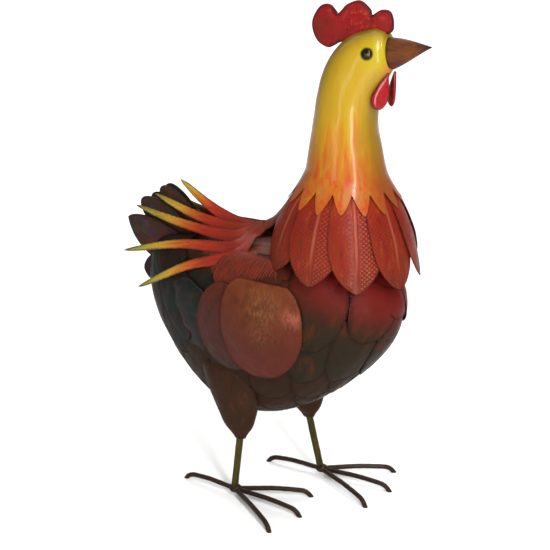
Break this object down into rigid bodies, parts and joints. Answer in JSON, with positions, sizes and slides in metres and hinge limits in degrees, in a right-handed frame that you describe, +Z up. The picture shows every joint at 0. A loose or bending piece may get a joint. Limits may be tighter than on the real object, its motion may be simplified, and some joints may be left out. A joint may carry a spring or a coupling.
{
  "type": "scrap metal rooster sculpture",
  "caption": "Painted sheet-metal rooster garden sculpture with overlapping feather plates, a fanned tail and wire-rod legs, standing on splayed toes.",
  "frame": {"origin": "on the ground, below the middle of the sculpture's length and width", "axes": "+X towards the beak, +Y towards the rooster's left side, +Z up"},
  "size_m": [0.3875, 0.2061, 0.605],
  "materials": {
    "yellow_paint": "glossy hand-painted enamel, golden yellow fading through orange streaks to red, with gilt shading",
    "comb_red_paint": "satin deep red enamel with orange flecks",
    "beak_paint": "satin brown enamel, darker at its edges",
    "eye_glass": "glossy black bead",
    "hackle_paint": "glossy red enamel over knurled sheet, rubbed with orange",
    "breast_paint": "satin crimson enamel that fades to dark brown",
    "wing_paint": "satin red-brown enamel dry-brushed with gold",
    "dark_brown_paint": "satin dark brown enamel with worn patches",
    "tail_paint": "satin brown-black enamel with maroon and teal tints",
    "fan_paint": "glossy red enamel that turns orange, then yellow-green at the tips",
    "leg_steel": "olive-brown painted steel rod with gilt wear",
    "toe_steel": "dark brown painted steel rod"
  },
  "bodies": {
    "root": {"body": "dark_brown_paint", "neck_and_head": "yellow_paint", "beak": "beak_paint", "comb": "comb_red_paint", "right_wattle": "comb_red_paint", "left_wattle": "comb_red_paint", "right_eye": "eye_glass", "left_eye": "eye_glass", "hackle_feather_1": "hackle_paint", "hackle_feather_2": "hackle_paint", "hackle_feather_3": "hackle_paint", "hackle_feather_4": "hackle_paint", "hackle_feather_5": "hackle_paint", "hackle_feather_6": "hackle_paint", "hackle_feather_7": "hackle_paint", "hackle_feather_8": "hackle_paint", "right_wing_shoulder_plate": "wing_paint", "left_wing_shoulder_plate": "wing_paint", "right_wing_rear_covert": "wing_paint", "left_wing_rear_covert": "wing_paint", "right_wing_middle_covert": "wing_paint", "left_wing_middle_covert": "wing_paint", "right_wing_front_covert": "wing_paint", "left_wing_front_covert": "wing_paint", "breast_feather_1_1": "breast_paint", "breast_feather_1_2": "breast_paint", "breast_feather_1_3": "breast_paint", "breast_feather_1_4": "breast_paint", "breast_feather_1_5": "breast_paint", "breast_feather_1_6": "breast_paint", "breast_feather_2_1": "breast_paint", "breast_feather_2_2": "breast_paint", "breast_feather_2_3": "breast_paint", "breast_feather_2_4": "breast_paint", "breast_feather_2_5": "breast_paint", "right_tail_feather_1": "tail_paint", "left_tail_feather_1": "tail_paint", "right_tail_feather_2": "tail_paint", "left_tail_feather_2": "tail_paint", "right_tail_feather_3": "tail_paint", "left_tail_feather_3": "tail_paint", "right_tail_feather_4": "tail_paint", "left_tail_feather_4": "tail_paint", "right_sickle_fan": "fan_paint", "left_sickle_fan": "fan_paint", "right_thigh": "dark_brown_paint", "right_leg": "leg_steel", "right_middle_and_back_toe": "toe_steel", "right_outer_toe": "toe_steel", "right_inner_toe": "toe_steel", "left_thigh": "dark_brown_paint", "left_leg": "leg_steel", "left_middle_and_back_toe": "toe_steel", "left_outer_toe": "toe_steel", "left_inner_toe": "toe_steel"}
  },
  "joints": []
}
